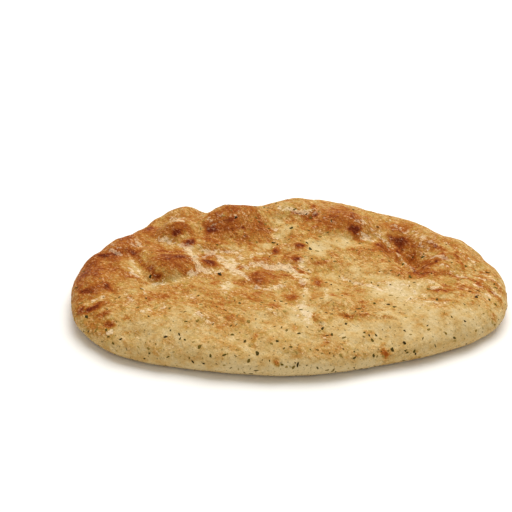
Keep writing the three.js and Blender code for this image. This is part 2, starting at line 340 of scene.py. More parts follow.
def makeBread():
    numbers = np.arange(sheetU.size).reshape(sheetU.shape)
    top = np.stack([numbers[:-1, :-1], numbers[1:, :-1], numbers[1:, 1:], numbers[:-1, 1:]], axis=-1)
    faces = top.reshape(-1, 4).tolist()

    # the underside: the border drawn in ring by ring, barely lifted between the places that touch
    points = intoBox(sheet).reshape(-1, 3)
    border = edgeLoop(numbers)
    edge = points[border]
    rings = dough["underRings"]
    inwards = (np.arange(1, rings) / rings)[:, None, None]
    under = edge * (1 - inwards)
    lump = np.abs(layered(under + [0, 0, 500], dough["underLumps"], 51))  # noise far from the top's
    under[..., 2] = dough["underUneven"] * lump * smoothStep(inwards[..., 0] / dough["underRunIn"])
    count = len(border)
    firstRing = len(points)
    inner = firstRing + np.arange((rings - 1) * count).reshape(rings - 1, count)
    loops = np.concatenate([border[None], inner])
    nextOne = np.roll(loops, -1, axis=1)
    walls = np.stack([nextOne[:-1], loops[:-1], loops[1:], nextOne[1:]], axis=-1)
    faces += walls.reshape(-1, 4).tolist()
    middle = firstRing + (rings - 1) * count
    fan = np.stack([nextOne[-1], loops[-1], np.full(count, middle)], axis=-1)
    faces += fan.tolist()
    points = np.concatenate([points, under.reshape(-1, 3), [[0, 0, 0]]])

    piece = meshPiece("bread", points, faces)
    edgeFlat = unrolledSheet.reshape(-1, 3)[border]
    underMiddle = np.array([0, 0, dough["underMark"]])
    underFlat = edgeFlat * (1 - inwards) + underMiddle
    flat = np.concatenate([unrolledSheet.reshape(-1, 3), underFlat.reshape(-1, 3), underMiddle[None]])
    return piece, flat


bread, breadFlat = makeBread()
print("bread made,", len(bread.data.polygons), "faces")

crust = {
    # toast is how brown the crust is, 0 to 1; places are on the unrolled sheet, which is the plan
    # itself as far as the rim's roll
    "topToast": 0.44,
    "underToast": 0.45,
    "rimStart": 0,  # where the browning starts to run out, past the start of the roll
    "rimRunOut": 16,
    # how brown the rim stays: direction, toast, spread; the front is palest
    "rimToast": [(172, 0.56, 36), (95, 0.44, 50), (20, 0.4, 34)],
    "palestToast": 0.12,
    # the patches' edges are pushed about: how far, and the size of the lumps that do it
    "warp": 1.0,
    "warpSize": 5,
    # streaks run down to the right, this many times as long as they are wide
    "streakTurn": -38,
    "streakSize": 2.6,
    "streakStretch": 3,
    "streakToast": 0.08,
    "streakCalm": 0.6,  # how much of it the rim goes without
    "mottleSize": 8,
    "mottleToast": 0.05,
    "mottleCalm": 0.5,
    # streaks round the right rim: toast, steps to a radian, width, where they start, and their band
    "rimStreakToast": 0.2,
    "rimStreakSteps": 9,
    "rimStreakWidth": 2,
    "rimStreakStart": 66,
    "rimStreakFade": 25,
    "rimStreakBand": 16,
    # the underside's broad and small lumps: size, toast and seed
    "underMottle": [(22, 0.3, 61), (6, 0.15, 66)],
    # flour: stroke width factor, how far strokes are pushed about, how broken they are, the faint cloud
    "dustingWidth": 1.5,
    "dustingWarp": 0.7,
    "dustingWarpSize": 4,
    "dustingBreaks": 0.7,
    "dustingBreakSize": 2.4,
    "cloud": 0.06,
    "cloudUneven": 0.12,
    "cloudSize": 9,
    "underFlour": 0.3,
    "underDrift": 0.3,
    "underDriftSize": 18,
    # a patch: middle x and y, half length, half width, turn, how much browner (or paler)
    "patches": [
        # the large back blister, its dark spots and its amber foot
        (-32, 42, 20, 13, 0, 0.3), (-27, 60, 13, 8, 0, 0.3), (-36, 33, 12, 3, 5, 0.1),
        (-45, 34.3, 3.8, 2.6, 10, 0.4), (-48.5, 38, 4, 2.2, -50, 0.2), (-41.5, 33.3, 2, 1.3, 0, 0.2),
        (-33, 38.6, 3.6, 1.5, 0, 0.24), (-25.5, 35.2, 2, 1, 20, 0.3), (-24, 31.2, 1.2, 0.8, 0, 0.34),
        (-20, 39.5, 2.2, 1.4, 0, 0.18), (-15, 36, 4.5, 7, 0, 0.1), (-37, 25.5, 12, 3, 0, 0.1),
        (-46, 26.5, 1.6, 4, 0, 0.18), (-29, 26, 2, 3, 0, 0.14), (-19, 26.5, 3, 2, 0, 0.1),
        (-27, 32.5, 2, 1.5, 0, -0.2), (-34, 21.5, 6, 1.5, 0, -0.2), (-12, 27, 5, 3, 0, -0.2),
        (-50, 45, 1.6, 4, 0, -0.3),
        # the small blisters and dents of the back left
        (-63.5, 28.8, 3.8, 2, 5, 0.42), (-60.3, 27.6, 1.6, 0.9, 0, 0.3), (-65, 32, 8, 3.4, 10, 0.24),
        (-57, 31, 4, 3, 0, 0.16), (-63, 35, 6, 1.4, 8, -0.12), (-64, 40, 10, 3, 8, 0.12),
        (-79.3, 42.5, 2.6, 4.2, 15, 0.32), (-78, 37, 4.5, 6, 10, 0.18), (-62, 54, 10, 7, 5, 0.08),
        (-56, 22.4, 3.4, 3.4, 0, 0.6), (-68, 12.5, 4, 3, 0, 0.26), (-62, 13.5, 3.4, 2.8, 0, 0.2),
        (-90, 16, 13, 7, 50, 0.16), (-99.5, 8.3, 3, 1.7, -10, 0.34), (-94.5, 9.5, 2, 1.4, 0, 0.2),
        (-84.5, 12, 3, 2.5, 0, 0.22), (-88, 29, 9, 4, 45, 0.16), (-81, 16, 2.5, 3.5, 0, 0.14),
        # the left end
        (-103, -12, 10, 26, 0, 0.18), (-94, -8, 6, 14, 0, 0.1), (-92, 3, 3, 6, 10, 0.14),
        (-103, -27.3, 5, 1.8, -10, 0.36), (-98, -25.5, 7, 3, -10, 0.12), (-92, -26, 4.4, 1.6, -38, 0.28),
        (-93.5, -22.5, 3.4, 1.4, -20, 0.16), (-99.5, -14, 1.5, 4, 10, 0.14), (-91, -5, 2, 4, 0, 0.1),
        (-104, 0, 4, 8, 10, 0.08), (-97, -41, 6.6, 2.2, 20, 0.46), (-107, -41.5, 3, 3, 0, 0.4),
        (-104, -38.5, 2, 1.5, 0, 0.18), (-90.5, -46.8, 4, 2.6, 0, 0.42), (-96, -46.5, 2.4, 1.4, 0, 0.16),
        (-88, -54, 3.2, 2.8, 0, 0.5), (-79, -51, 2.4, 1.6, 0, 0.22), (-78.4, -59.6, 2.2, 1, 0, 0.26),
        (-79, -25, 7, 7, 0, -0.14), (-83, -4, 2.4, 8, 20, -0.3),
        # the left blister
        (-63, -4, 12, 10.5, 0, 0.3), (-69.8, -14.6, 3.6, 1.4, -14, 0.42),
        (-75, -10.5, 5, 1.6, -50, 0.22), (-64.8, -6, 1.7, 1.5, 0, 0.2), (-57.5, -3.8, 3, 2, 0, 0.18),
        (-67, 3, 4, 4, 0, 0.1), (-57, -12.5, 6, 1.8, 5, 0.12), (-83.5, -16, 4, 1.5, 5, 0.3),
        (-77.5, -17.8, 2.5, 0.9, 10, 0.2), (-45.5, 12, 4.6, 3.2, 0, 0.28),
        (-43.6, 1.2, 4.8, 4.4, 0, 0.5), (-43, 2.5, 6, 5, 0, 0.14), (-26.3, 1.4, 1.9, 2.8, 0, 0.34),
        (-47, -18, 2.6, 1.8, 0, 0.18), (-40, -16.7, 2.2, 2, 0, 0.2),
        # the small blisters of the middle
        (-14, 7.5, 7, 4.5, 0, 0.18), (-12, 13, 3.4, 5.5, 0, 0.14), (-18.6, 11, 0.9, 3.4, 0, 0.24),
        (-7, 21.4, 2.6, 3.2, 0, 0.46), (7, 23.4, 4, 2.5, 0, 0.5), (5, 25.4, 6, 3, 0, 0.14),
        (-2, 15, 1, 4, 0, 0.24), (3, 12, 4, 3.2, 0, 0.2), (5, 10.4, 3, 2, 0, 0.36),
        (18.5, 8, 4.4, 3.2, 0, 0.22), (24.5, 5.5, 2.2, 2.6, -30, 0.2), (23, 2.5, 2, 2, 0, 0.1),
        (27, 14.3, 1.8, 1.8, 0, 0.22), (35, 19.6, 1.8, 1.6, 45, 0.28), (40, 17.5, 4.5, 3, 0, 0.14),
        (47, 19, 2.5, 2, 0, 0.16), (7.7, -0.5, 2.2, 1.8, 0, 0.42), (11, -1.5, 1.5, 2, 0, 0.16),
        (15, -2, 2, 3, 0, 0.22), (2, 4.6, 3, 1, 0, 0.16), (-13, -9, 9.5, 8.5, 0, 0.24),
        (-17.5, -7.5, 2, 3, 0, 0.08), (-15, -15, 6, 2.8, -5, 0.24), (-24.5, -14.5, 2.6, 4.4, 0, 0.22),
        (-28.4, -14, 1.6, 3, 15, 0.3), (-20, -15.5, 2, 1.5, 0, 0.18), (-1, -4.5, 4, 4.6, 0, 0.16),
        (8.4, -14.6, 2, 2, 0, 0.26), (16, -11.5, 3.2, 5.2, 0, 0.44), (6, -20, 2, 2, 0, 0.14),
        (38, -22, 2.5, 3, 0, 0.16), (40, -15.5, 1, 1, 0, 0.24), (1.7, -28.5, 4, 4.6, 0, 0.48),
        (24, -29, 1.9, 3.8, 15, 0.5), (5, -36, 1.6, 3, 20, 0.14), (14.5, -28, 3.4, 6, 0, 0.14),
        (31, -26, 1.6, 3, 0, 0.14), (-7, -41, 4.4, 4, 0, 0.24), (-5.5, -36, 2, 1.6, 0, 0.12),
        (-17, -26, 3.6, 3, 0, 0.2), (-15, -34, 5, 3.4, 0, 0.1),
        # the back right blister
        (30, 46, 15, 8.5, -10, 0.24), (31, 60, 10, 8, -10, 0.24), (20, 40, 6, 4, -20, 0.14),
        (32, 42, 7, 4, 0, 0.08), (3, 54.3, 3, 1.2, 0, 0.4), (5, 52, 10, 3.4, 0, 0.1),
        (15, 59, 1.8, 2.2, 0, 0.42), (16, 51, 2, 1.8, 0, 0.32), (37.5, 36.2, 3.8, 2.2, 5, 0.5),
        (37, 36, 8, 4.6, 0, 0.2), (38, 31.5, 2.5, 1, 0, 0.24), (3, 33, 3, 2, 0, 0.2),
        (52, 50, 8, 6, -30, 0.06), (13.5, 41, 1.2, 1.6, 0, 0.2),
        # the pit of the right and the creases that run from it; their dark brown is browning together with
        # painted shade in the pit's hollow
        (61, 36, 4.6, 1.9, -35, 0.34), (65, 33, 3.8, 2.2, -30, 0.34), (58.5, 38.6, 2.2, 1.2, -40, 0.22),
        (66, 38, 4, 6, 40, 0.14), (63, 44, 8, 5, -10, 0.16), (62.5, 29.5, 0.9, 1.4, 0, 0.28),
        (66, 25, 5.4, 10.5, 20, 0.26), (70, 11, 4.6, 9, 12, 0.26), (68.5, 17.5, 1.8, 1.6, 0, 0.08),
        (72.5, -3, 4, 6.5, -10, 0.26), (78.5, 9.5, 5, 5, 30, 0.2), (78, 3, 6, 4, 0, 0.14),
        (77, 26, 6, 11, 40, 0.16), (85, 12, 7, 7, 0, 0.1), (82.5, 20.5, 1.6, 1, -40, 0.24),
        (88, 14, 9, 12, 0, 0.04), (84, -5.5, 5, 1.8, 10, 0.18), (91, -1, 4, 3, 0, 0.12),
        (98, 8, 7, 10, 0, 0.08), (58, 25, 3, 5, 20, 0.06), (52, 22, 3.6, 9, 8, 0.22),
        (49, 20, 6, 10, 0, 0.08), (55, 29.5, 5, 3.6, 0, 0.2), (62, -1, 11, 5, -8, 0.14),
        # the right rim
        (79, -25, 4, 1.3, -8, 0.28), (75, -22, 2, 0.9, -20, 0.2), (85, -24.5, 4.5, 1.6, 35, 0.24),
        (87, -28, 3, 1.6, 20, 0.14), (83, -18.5, 3, 2, 0, 0.12), (73, -31, 5, 1.4, 12, 0.2),
        (80, -33.5, 5, 2.4, 0, 0.16), (76, -36.5, 3.5, 2, 30, 0.16), (96, -10, 4, 1.2, -15, 0.28),
        (101, -15, 4, 1.3, -40, 0.26), (105.5, -18.6, 4, 1, -22, 0.3), (112, -14.5, 4, 2, -40, 0.26),
        (110.5, -24, 3, 2.4, -30, 0.24), (105, -9, 5, 3, -30, 0.12), (107, -37.5, 4, 2.4, -25, 0.22),
        (109, -4, 5, 8, 20, 0.1),
        # the fold of the front
        (37, -43.5, 15, 4.6, 0, 0.1), (40, -35, 2.2, 2, 0, 0.3), (40, -38.8, 2.2, 1, 0, 0.28),
        (48.5, -34.5, 2, 1, 0, 0.28), (20, -45, 3, 3, 0, 0.1),
        # the front of the left
        (-67, -33.5, 5, 3.4, 0, 0.2), (-72, -36, 3.4, 2, -30, 0.14), (-81, -37, 4.6, 1.2, -60, 0.18),
        (-35, -38.5, 8, 4.6, 0, 0.1), (-33.5, -40, 1.8, 1.2, 0, 0.22), (-47, -42, 2.4, 1.8, 0, 0.2),
        (-38.5, -44.5, 2.4, 3.4, 0, 0.12), (-46, -48, 1.4, 3, 20, 0.14), (-29, -48, 6, 5, 0, 0.06),
        (-30, -52.5, 4, 1.6, 0, 0.14), (-61, -26, 4, 5, 0, 0.08),
        # spots of the side
        (-15.5, -66, 1.5, 3, 0, 0.25), (-16, -70.5, 2, 1.2, 0, 0.2), (-48, -60, 2, 1, 0, 0.14),
        (-57, -67, 3, 2, 0, 0.14), (18, -67, 2.4, 2.4, 0, 0.34), (17, -62, 6, 1.6, 5, 0.2),
        (29, -65, 2, 1.3, 0, 0.25), (33, -73, 3, 2.4, -30, 0.2), (19, -72, 2, 1.5, 0, 0.2),
        (40, -58, 2.8, 1.8, -15, 0.34), (50, -55, 1.5, 0.8, 0, 0.24), (50.6, -71, 6.4, 2.3, -50, 0.5),
        (47.5, -63, 1.4, 1, 0, 0.2), (66, -52, 3, 1.4, -20, 0.18), (77, -44, 1.8, 1.2, 0, 0.26),
        (-4.6, -81.5, 1.8, 3.6, 0, 0.5),
        # broad places that are a little browner; the long band along the front side at y -70 is painted
        # shade, darkening the upper front side where the roll turns down
        (-97, -38, 13, 18, 20, 0.16), (8, -70, 76, 9, 0, 0.13), (-32, -66, 13, 8, 0, 0.06),
        (-62, -70, 8, 7, 0, 0.06), (-97, -54, 9, 7, 0, 0.06), (15, -74, 14, 6, 0, 0.06),
        (-60, 3, 10, 6, 0, 0.06), (-88, -60, 12, 7, -30, 0.08), (-40, 18, 9, 8, 0, 0.1),
        (-70, 16, 6, 6, 0, 0.06), (18, 28, 5, 7, 0, 0.08), (57, 34, 5, 4, 0, 0.12),
        (15, 55, 9, 6, 0, 0.08), (74, -21, 5, 4, 0, 0.1), (6, -6, 4, 9, 0, 0.06),
        (-34, -25, 5, 6, 0, 0.06), (-110, -10, 6, 16, 0, 0.12), (-101, -54, 8, 5, -20, 0.14),
        (-88, 2, 5, 6, 0, 0.08), (-6, 9, 8, 6, 0, 0.1), (-68, -33, 6, 6, 0, 0.06),
        (100, -22, 14, 15, 0, 0.14), (-73, 15, 6, 12, 0, 0.16), (-60, -35, 7, 6, 0, 0.08),
        (-36, -34, 7, 7, 0, 0.06), (-40, -16, 7, 5, 0, 0.06), (-18, -10, 7, 6, 0, 0.07),
        (-44, 28, 9, 7, 0, 0.14), (-63, -2, 8, 8, 0, 0.08), (55, 25, 6, 9, 0, 0.1),
        (15, 44, 6, 7, 0, 0.1), (39, 47, 6, 6, 0, 0.1), (-86, 13, 5, 8, 0, 0.06),
        (-88, -11, 6, 7, 0, 0.06), (-14, -12, 7, 5, 0, 0.02),
        # paler places
        (36, 3, 15, 11, 0, -0.13), (50, -6, 10, 5, 0, -0.08), (15, -40, 13, 8, 0, -0.16),
        (-8, -50, 12, 6, 0, -0.18), (50, -42, 12, 6, 0, -0.14), (77, -31, 7, 5, 0, -0.06),
        (-60, -18, 9, 3.4, 0, -0.12), (-18, 16, 6, 6, 0, -0.13), (-25, -4, 5, 6, 0, -0.08),
        (-5, 50, 5, 10, 0, -0.16), (-100, 0, 5, 7, 0, -0.06), (59, -24.5, 18, 14, -15, -0.33),
        (50, -22, 8, 10, 0, -0.06), (66, -38, 12, 6, -30, -0.1), (18, 23, 9, 7, 0, -0.22),
        (32, 25, 6, 4, 0, -0.24), (26, 32, 8, 3, 0, -0.14), (10, -8, 1.8, 5, 5, -0.28),
        (6, -4, 3, 3, 0, -0.2), (7, 7, 2, 2.6, 0, -0.28), (24, -3, 3, 3, 0, -0.18),
        (44, -7, 3, 3, 0, -0.12), (27, -20, 3, 5, 0, -0.14), (10, -26, 2, 8, 0, -0.16),
        (20.5, -30, 1.4, 7, 0, -0.2), (9, -47, 3.4, 9, 10, -0.24), (-32.5, -24, 3, 6, 0, -0.1),
        (-4.5, 37, 3, 6, 0, -0.2), (-5, -26, 3, 4, 0, -0.14), (-31, -18, 5, 13, -15, -0.16),
        (6, -46, 6, 14, 5, -0.14), (19, 24, 9, 12, 0, -0.12), (-33, 5, 4, 8, 25, -0.16),
        (-53, 10, 3, 5, 10, -0.2), (-99, -36.5, 5, 2.4, 20, -0.24), (32, -55, 14, 5, 0, -0.08),
        # the first patch on the next line, a long band at y -88, is painted light, lifting the shade at the
        # foot of the front side
        (8, -88, 80, 6, 0, -0.14), (20, -16, 9, 13, 0, -0.18), (-18, -45, 8, 8, 0, -0.08),
        (5, -22, 5, 5, 0, -0.06), (1, 44, 5, 9, 0, -0.14), (40, -45, 14, 8, 0, -0.06),
        (36, 24, 5, 9, 0, -0.08), (25, -38, 8, 6, 0, -0.08), (54, -9, 9, 3, -8, -0.12),
        (67, -12, 7, 3.4, 0, -0.14), (-52, -50, 9, 8, 0, -0.18), (0, -32, 9, 6, 0, -0.08),
        (-8, -55, 14, 6, 0, -0.08), (32, 31, 5, 4, 0, -0.1), (-63, -16, 9, 4, 0, -0.12),
    ],
    # a brown stroke with crisp edges: its points, half width, how much browner
    "strokes": [
        # the lip above the pale plain, the sides of the pit's ridge, the fold and its hook; the stroke in
        # the pit's crease is browning together with painted shade
        ([(49, -3), (57, -5.6), (66, -6.4), (74, -5), (82, -3.6)], 3, 0.12),
        ([(68, 9), (69.2, 3), (69.4, -3)], 0.7, 0.34), ([(60, 24), (64, 15), (66.5, 8)], 0.8, 0.14),
        ([(27, -48.2), (33, -48.5), (39, -48), (45, -48), (50.5, -48.8)], 0.8, 0.3),
        ([(23, -38.5), (18, -42), (14.5, -47), (13.2, -53), (16.5, -57)], 0.7, 0.22),
        ([(88, -7), (94, -9.6), (99, -13)], 0.9, 0.18), ([(104, -17), (108, -20), (112, -22)], 0.9, 0.2),
        ([(98, -3), (105, -8), (112, -13)], 0.9, 0.16), ([(86, -19), (93, -23), (101, -27)], 0.8, 0.2),
        ([(74, -24.6), (80, -25.6), (86, -28)], 0.9, 0.14),
        ([(70, -31), (78, -32), (84, -35)], 0.9, 0.14), ([(92, 6), (99, 2), (106, -2)], 0.8, 0.2),
        ([(84, -13), (91, -16), (98, -21)], 0.7, 0.2), ([(104, -27), (110, -32)], 0.8, 0.2),
        ([(90, 16), (97, 12), (103, 7)], 0.8, 0.16), ([(74, 4), (79, 4), (84, 7), (88, 8)], 0.9, 0.2),
        ([(74, -3), (82, -3), (90, -6), (97, -8)], 1.2, 0.16),
        ([(-86, 12), (-81, 3), (-77, -6), (-73, -11)], 1.3, 0.2),
    ],
    # a stroke of flour or dry skin: its points, half width, amount
    "dustings": [
        # round the left blister and across the middle
        ([(-73, 28.5), (-68, 25), (-62, 21.5), (-57, 17)], 1.1, 0.8),
        ([(-56, 17), (-53, 13), (-51, 7)], 2, 0.8), ([(-52, 3), (-50, -2), (-49, -5)], 1.8, 0.9),
        ([(-60, 22), (-52, 19.5), (-47, 17), (-41, 14), (-37, 10)], 1.2, 0.9),
        ([(-37, 10), (-34, 6), (-31, 1), (-28.5, -4)], 2.1, 1),
        ([(-42, 17), (-34, 18.5), (-27, 19.5)], 0.9, 0.7),
        ([(-29, 18.5), (-27, 14), (-25, 10)], 0.9, 0.7),
        ([(-32, 11), (-28, 6), (-25, 2), (-22, -1)], 0.7, 0.7), ([(-20.5, 18), (-20.5, 11)], 1, 0.7),
        ([(-18, 19), (-10, 19)], 0.8, 0.6), ([(-21, 2.5), (-15, 2.8), (-9, 2.6)], 1.7, 1.1),
        ([(-9, 2.6), (-5, 4.2), (0, 3.6)], 2.1, 1.1), ([(0, 3.6), (4, -2), (8, -8), (9, -13)], 1.7, 1),
        ([(-25, -5), (-22.5, -10), (-20.5, -14)], 0.6, 0.9),
        ([(-48, -6), (-42, -5.5), (-37, -4)], 1.3, 0.7),
        ([(-49, -8), (-52, -12.5), (-55, -15.5)], 1.1, 0.8), ([(-60, -17.5), (-53, -18)], 0.8, 0.5),
        ([(-72, -17.2), (-66, -18)], 0.7, 0.5), ([(-32.5, -15), (-30.5, -21), (-30, -26)], 1.3, 0.5),
        ([(-36, -15), (-34, -22)], 0.8, 0.5), ([(-18, -20.5), (-11, -21), (-3, -18)], 1.1, 0.6),
        ([(-45, 15), (-46.5, 12.5), (-45.5, 10)], 0.6, 0.7), ([(7, 9), (7.5, 5)], 1.2, 0.7),
        ([(10, 2), (12, 0.5)], 0.7, 0.7),
        # the left end and the back left
        ([(-86.5, -6), (-85.5, -12), (-81, -13.5)], 1.1, 0.9),
        ([(-87, 4), (-84, -2), (-80, -9)], 0.8, 0.6), ([(-84, 26), (-83, 20), (-81, 17)], 1, 0.7),
        ([(-95, 19), (-93, 14)], 1, 0.5), ([(-88, 21), (-85, 16)], 0.9, 0.5),
        ([(-96, 12), (-92, 9.5)], 0.8, 0.6), ([(-80, 12), (-77, 7)], 0.8, 0.5),
        ([(-67, 35.5), (-61, 36)], 1, 0.7), ([(-66, 49), (-60, 47.5)], 1, 0.7),
        ([(-98, -35), (-94, -33.5)], 1.2, 0.6), ([(-85, -32), (-79, -41)], 0.7, 0.4),
        ([(-89.5, -59.5), (-86, -58.3)], 0.9, 0.9),
        # the back blisters
        ([(-45, 44), (-38, 42), (-30, 40.5)], 0.6, 0.5), ([(-45, 36.5), (-40, 38)], 0.6, 0.5),
        ([(-29, 45), (-25, 43.5)], 0.7, 0.5), ([(-28, 33.5), (-26, 31.5)], 0.9, 0.6),
        ([(-50, 48), (-48, 43), (-46, 40)], 1.1, 0.7), ([(-8, 42), (-6, 36), (-8, 33)], 1.3, 0.6),
        ([(-46.3, 35), (-45.6, 34.8)], 0.5, 1), ([(-6, 57), (4, 55.5), (12, 53.5), (18, 53)], 1, 0.7),
        ([(2, 52.5), (8, 54), (14, 56)], 0.8, 0.5), ([(20, 47), (25, 42)], 0.7, 0.5),
        # round the pit; the line along the pit's ridge and the dashes at x 75 to 88 are flour together with
        # painted highlights
        ([(42, 34), (45, 33), (48, 31.5)], 1.2, 0.9), ([(38.5, 41), (45, 40)], 0.9, 0.7),
        ([(48, 38), (54, 35.5), (59, 33)], 1, 0.5), ([(50, 42), (56, 39), (60, 36.5)], 0.7, 0.4),
        ([(56, 52), (57, 48), (60, 45)], 1.3, 0.45), ([(62, 45), (70, 34), (78, 24)], 0.7, 0.45),
        ([(66, 42), (74, 31), (82, 20)], 0.6, 0.45), ([(60, 47), (66, 38)], 0.6, 0.45),
        ([(70, 38), (80, 26)], 0.6, 0.5), ([(72, 28), (76, 22), (79, 19)], 0.7, 0.6),
        ([(61.5, 26), (64, 21), (66, 16), (67.5, 11), (69, 6), (70, 2)], 0.7, 0.75),
        ([(75, 18), (76, 13)], 1, 0.7), ([(80, 10.5), (86, 9)], 0.9, 0.8),
        ([(83, 8), (88, 6.5)], 0.7, 0.6), ([(82, 2), (86, 1.6)], 0.8, 0.5),
        # the right rim
        ([(74, -17), (76, -18.5)], 1.0, 0.6), ([(76.5, -22.6), (80.5, -22.9)], 0.9, 0.9),
        ([(71, -27.5), (79, -31)], 0.7, 0.5), ([(98, -15), (100, -16)], 0.8, 1),
        ([(106, -17.5), (111, -19.8)], 0.7, 0.9), ([(101.5, -21.6), (105, -22.3)], 0.8, 0.8),
        ([(94, -2.5), (97, -4)], 0.9, 0.6), ([(89, -3), (91, -2.6)], 0.9, 0.6),
        ([(103.5, -1.5), (106, -3)], 1, 0.6), ([(98, 2), (100, 8)], 0.8, 0.4),
        ([(90, -6), (95, -8)], 0.6, 0.8), ([(101, -12.6), (106, -16)], 0.6, 0.8),
        ([(99, -5.4), (104, -9)], 0.6, 0.7), ([(88, -18), (93, -20.6)], 0.6, 0.6),
        ([(85, 1), (93, -1)], 0.6, 0.5), ([(96, -24), (102, -26)], 0.6, 0.5),
        ([(107, -6), (112, -10)], 0.7, 0.7), ([(72, -34), (80, -36)], 0.6, 0.4),
        ([(93, 12), (99, 8)], 0.7, 0.6), ([(86, 22), (94, 15)], 0.6, 0.5),
        ([(30, -4), (34, -9), (39, -15), (46, -18), (49, -22)], 0.8, 0.6),
        ([(50, -17), (58, -23), (66, -30)], 6, 0.3),
        # the front
        ([(-51, -33), (-49.5, -38)], 1.4, 0.5), ([(-64.5, -42), (-64, -46.5)], 1, 0.6),
        ([(-72, -48.5), (-70.5, -47)], 1.1, 0.6), ([(-46, -52), (-41, -55.5), (-37, -56)], 1.1, 0.45),
        ([(-10, -46), (-5.5, -49.5)], 0.7, 0.6), ([(-77, -24), (-73, -34)], 0.8, 0.4),
        ([(-34, -22), (-33, -29)], 1.8, 0.4), ([(6, -36), (9.5, -45), (11, -56)], 1.8, 0.6),
        ([(2, -40), (5, -50)], 1.3, 0.4), ([(21, -20), (20.5, -28), (20, -37)], 0.9, 0.6),
        ([(10, -18), (9.5, -28)], 1.2, 0.4),
    ],
}


def browning(flat):
    # toast of the top, run out over the rim to the rim's own, plus the patches, the strokes and a mottle
    under = flat[:, 2] > 0
    warpX = crust["warp"] * layered(flat, crust["warpSize"], 71)
    warpY = crust["warp"] * layered(flat, crust["warpSize"], 81)
    x, y = flat[:, 0] + warpX, flat[:, 1] + warpY
    angle = np.arctan2(y, x)
    rim = np.full_like(x, crust["palestToast"])
    for at, toast, spread in crust["rimToast"]:
        rim += (toast - crust["palestToast"]) * bell(angle, at, spread)
    past = np.hypot(x, y) - (reachAt(angle) - dough["rollWidth"]) - crust["rimStart"]
    out = smoothStep(past / crust["rimRunOut"])
    toast = crust["topToast"] * (1 - out) + rim * out
    for patch in crust["patches"]:
        q = ovalDistance(x, y, patch)
        toast += patch[5] * np.exp(-(q**3))
    for path, width, amount in crust["strokes"]:
        toast += amount * np.exp(-((pathDistance(x, y, path) / width) ** 4))
    along, across = turned(flat[:, 0], flat[:, 1], crust["streakTurn"])
    streaky = np.stack([along / crust["streakStretch"], across, flat[:, 2]], axis=-1)
    streaks = layered(streaky, crust["streakSize"], 91)
    toast += crust["streakToast"] * streaks * (1 - crust["streakCalm"] * out)
    lumps = layered(flat, crust["mottleSize"], 96)
    toast += crust["mottleToast"] * lumps * (1 - crust["mottleCalm"] * out)
    around, inOut = angle * crust["rimStreakSteps"], past / crust["rimStreakWidth"]
    rimStreaks = layered(np.stack([around, inOut, flat[:, 2]], axis=-1), 1, 141)
    rightRim = smoothStep((flat[:, 0] - crust["rimStreakStart"]) / crust["rimStreakFade"])
    rightRim = rightRim * np.exp(-((past / crust["rimStreakBand"]) ** 4))
    toast += crust["rimStreakToast"] * rightRim * rimStreaks
    underToast = crust["underToast"]
    for size, amount, seed in crust["underMottle"]:
        underToast = underToast + amount * layered(flat, size, seed)
    return np.clip(np.where(under, underToast, toast), 0, 1)


def dusting(flat):
    # strokes exp(-d^3) of flour, broken by a mottle, over a faint cloud of it
    x = flat[:, 0] + crust["dustingWarp"] * layered(flat, crust["dustingWarpSize"], 101)
    y = flat[:, 1] + crust["dustingWarp"] * layered(flat, crust["dustingWarpSize"], 111)
    broken = 1 + crust["dustingBreaks"] * layered(flat, crust["dustingBreakSize"], 126)
    flour = crust["cloud"] + crust["cloudUneven"] * layered(flat, crust["cloudSize"], 121)
    for path, width, amount in crust["dustings"]:
        width = width * crust["dustingWidth"]
        flour += amount * broken * np.exp(-((pathDistance(x, y, path) / width) ** 3))
    # the underside is floured in broad drifts
    drifts = crust["underFlour"] + crust["underDrift"] * layered(flat, crust["underDriftSize"], 131)
    flour = np.where(flat[:, 2] > 0, drifts, flour)
    return np.clip(flour, 0, 1)


paintPoints(bread, "toast", browning(breadFlat))
paintPoints(bread, "flour", dusting(breadFlat))
print("crust painted")


class Wire:
    # a socket that can be added, subtracted, multiplied and divided like a number
    def __init__(self, finish, socket):
        self.finish = finish
        self.socket = socket

    def maths(self, operation, *values):
        names = dict(enumerate(values))
        return self.finish.node("Math", {"operation": operation}, names)

    def __add__(self, other):
        return self.maths("ADD", self, other)

    def __radd__(self, other):
        return self.maths("ADD", other, self)

    def __sub__(self, other):
        return self.maths("SUBTRACT", self, other)

    def __rsub__(self, other):
        return self.maths("SUBTRACT", other, self)

    def __mul__(self, other):
        return self.maths("MULTIPLY", self, other)

    def __rmul__(self, other):
        return self.maths("MULTIPLY", other, self)

    def __truediv__(self, other):
        return self.maths("DIVIDE", self, other)

    def __neg__(self):
        return 0 - self

    def clamped(self):
        return self.maths("MAXIMUM", self.maths("MINIMUM", self, 1), 0)

    def between(self, low, high):
        # 0 below low, 1 above high and straight between them
        return ((self - low) / (high - low)).clamped()


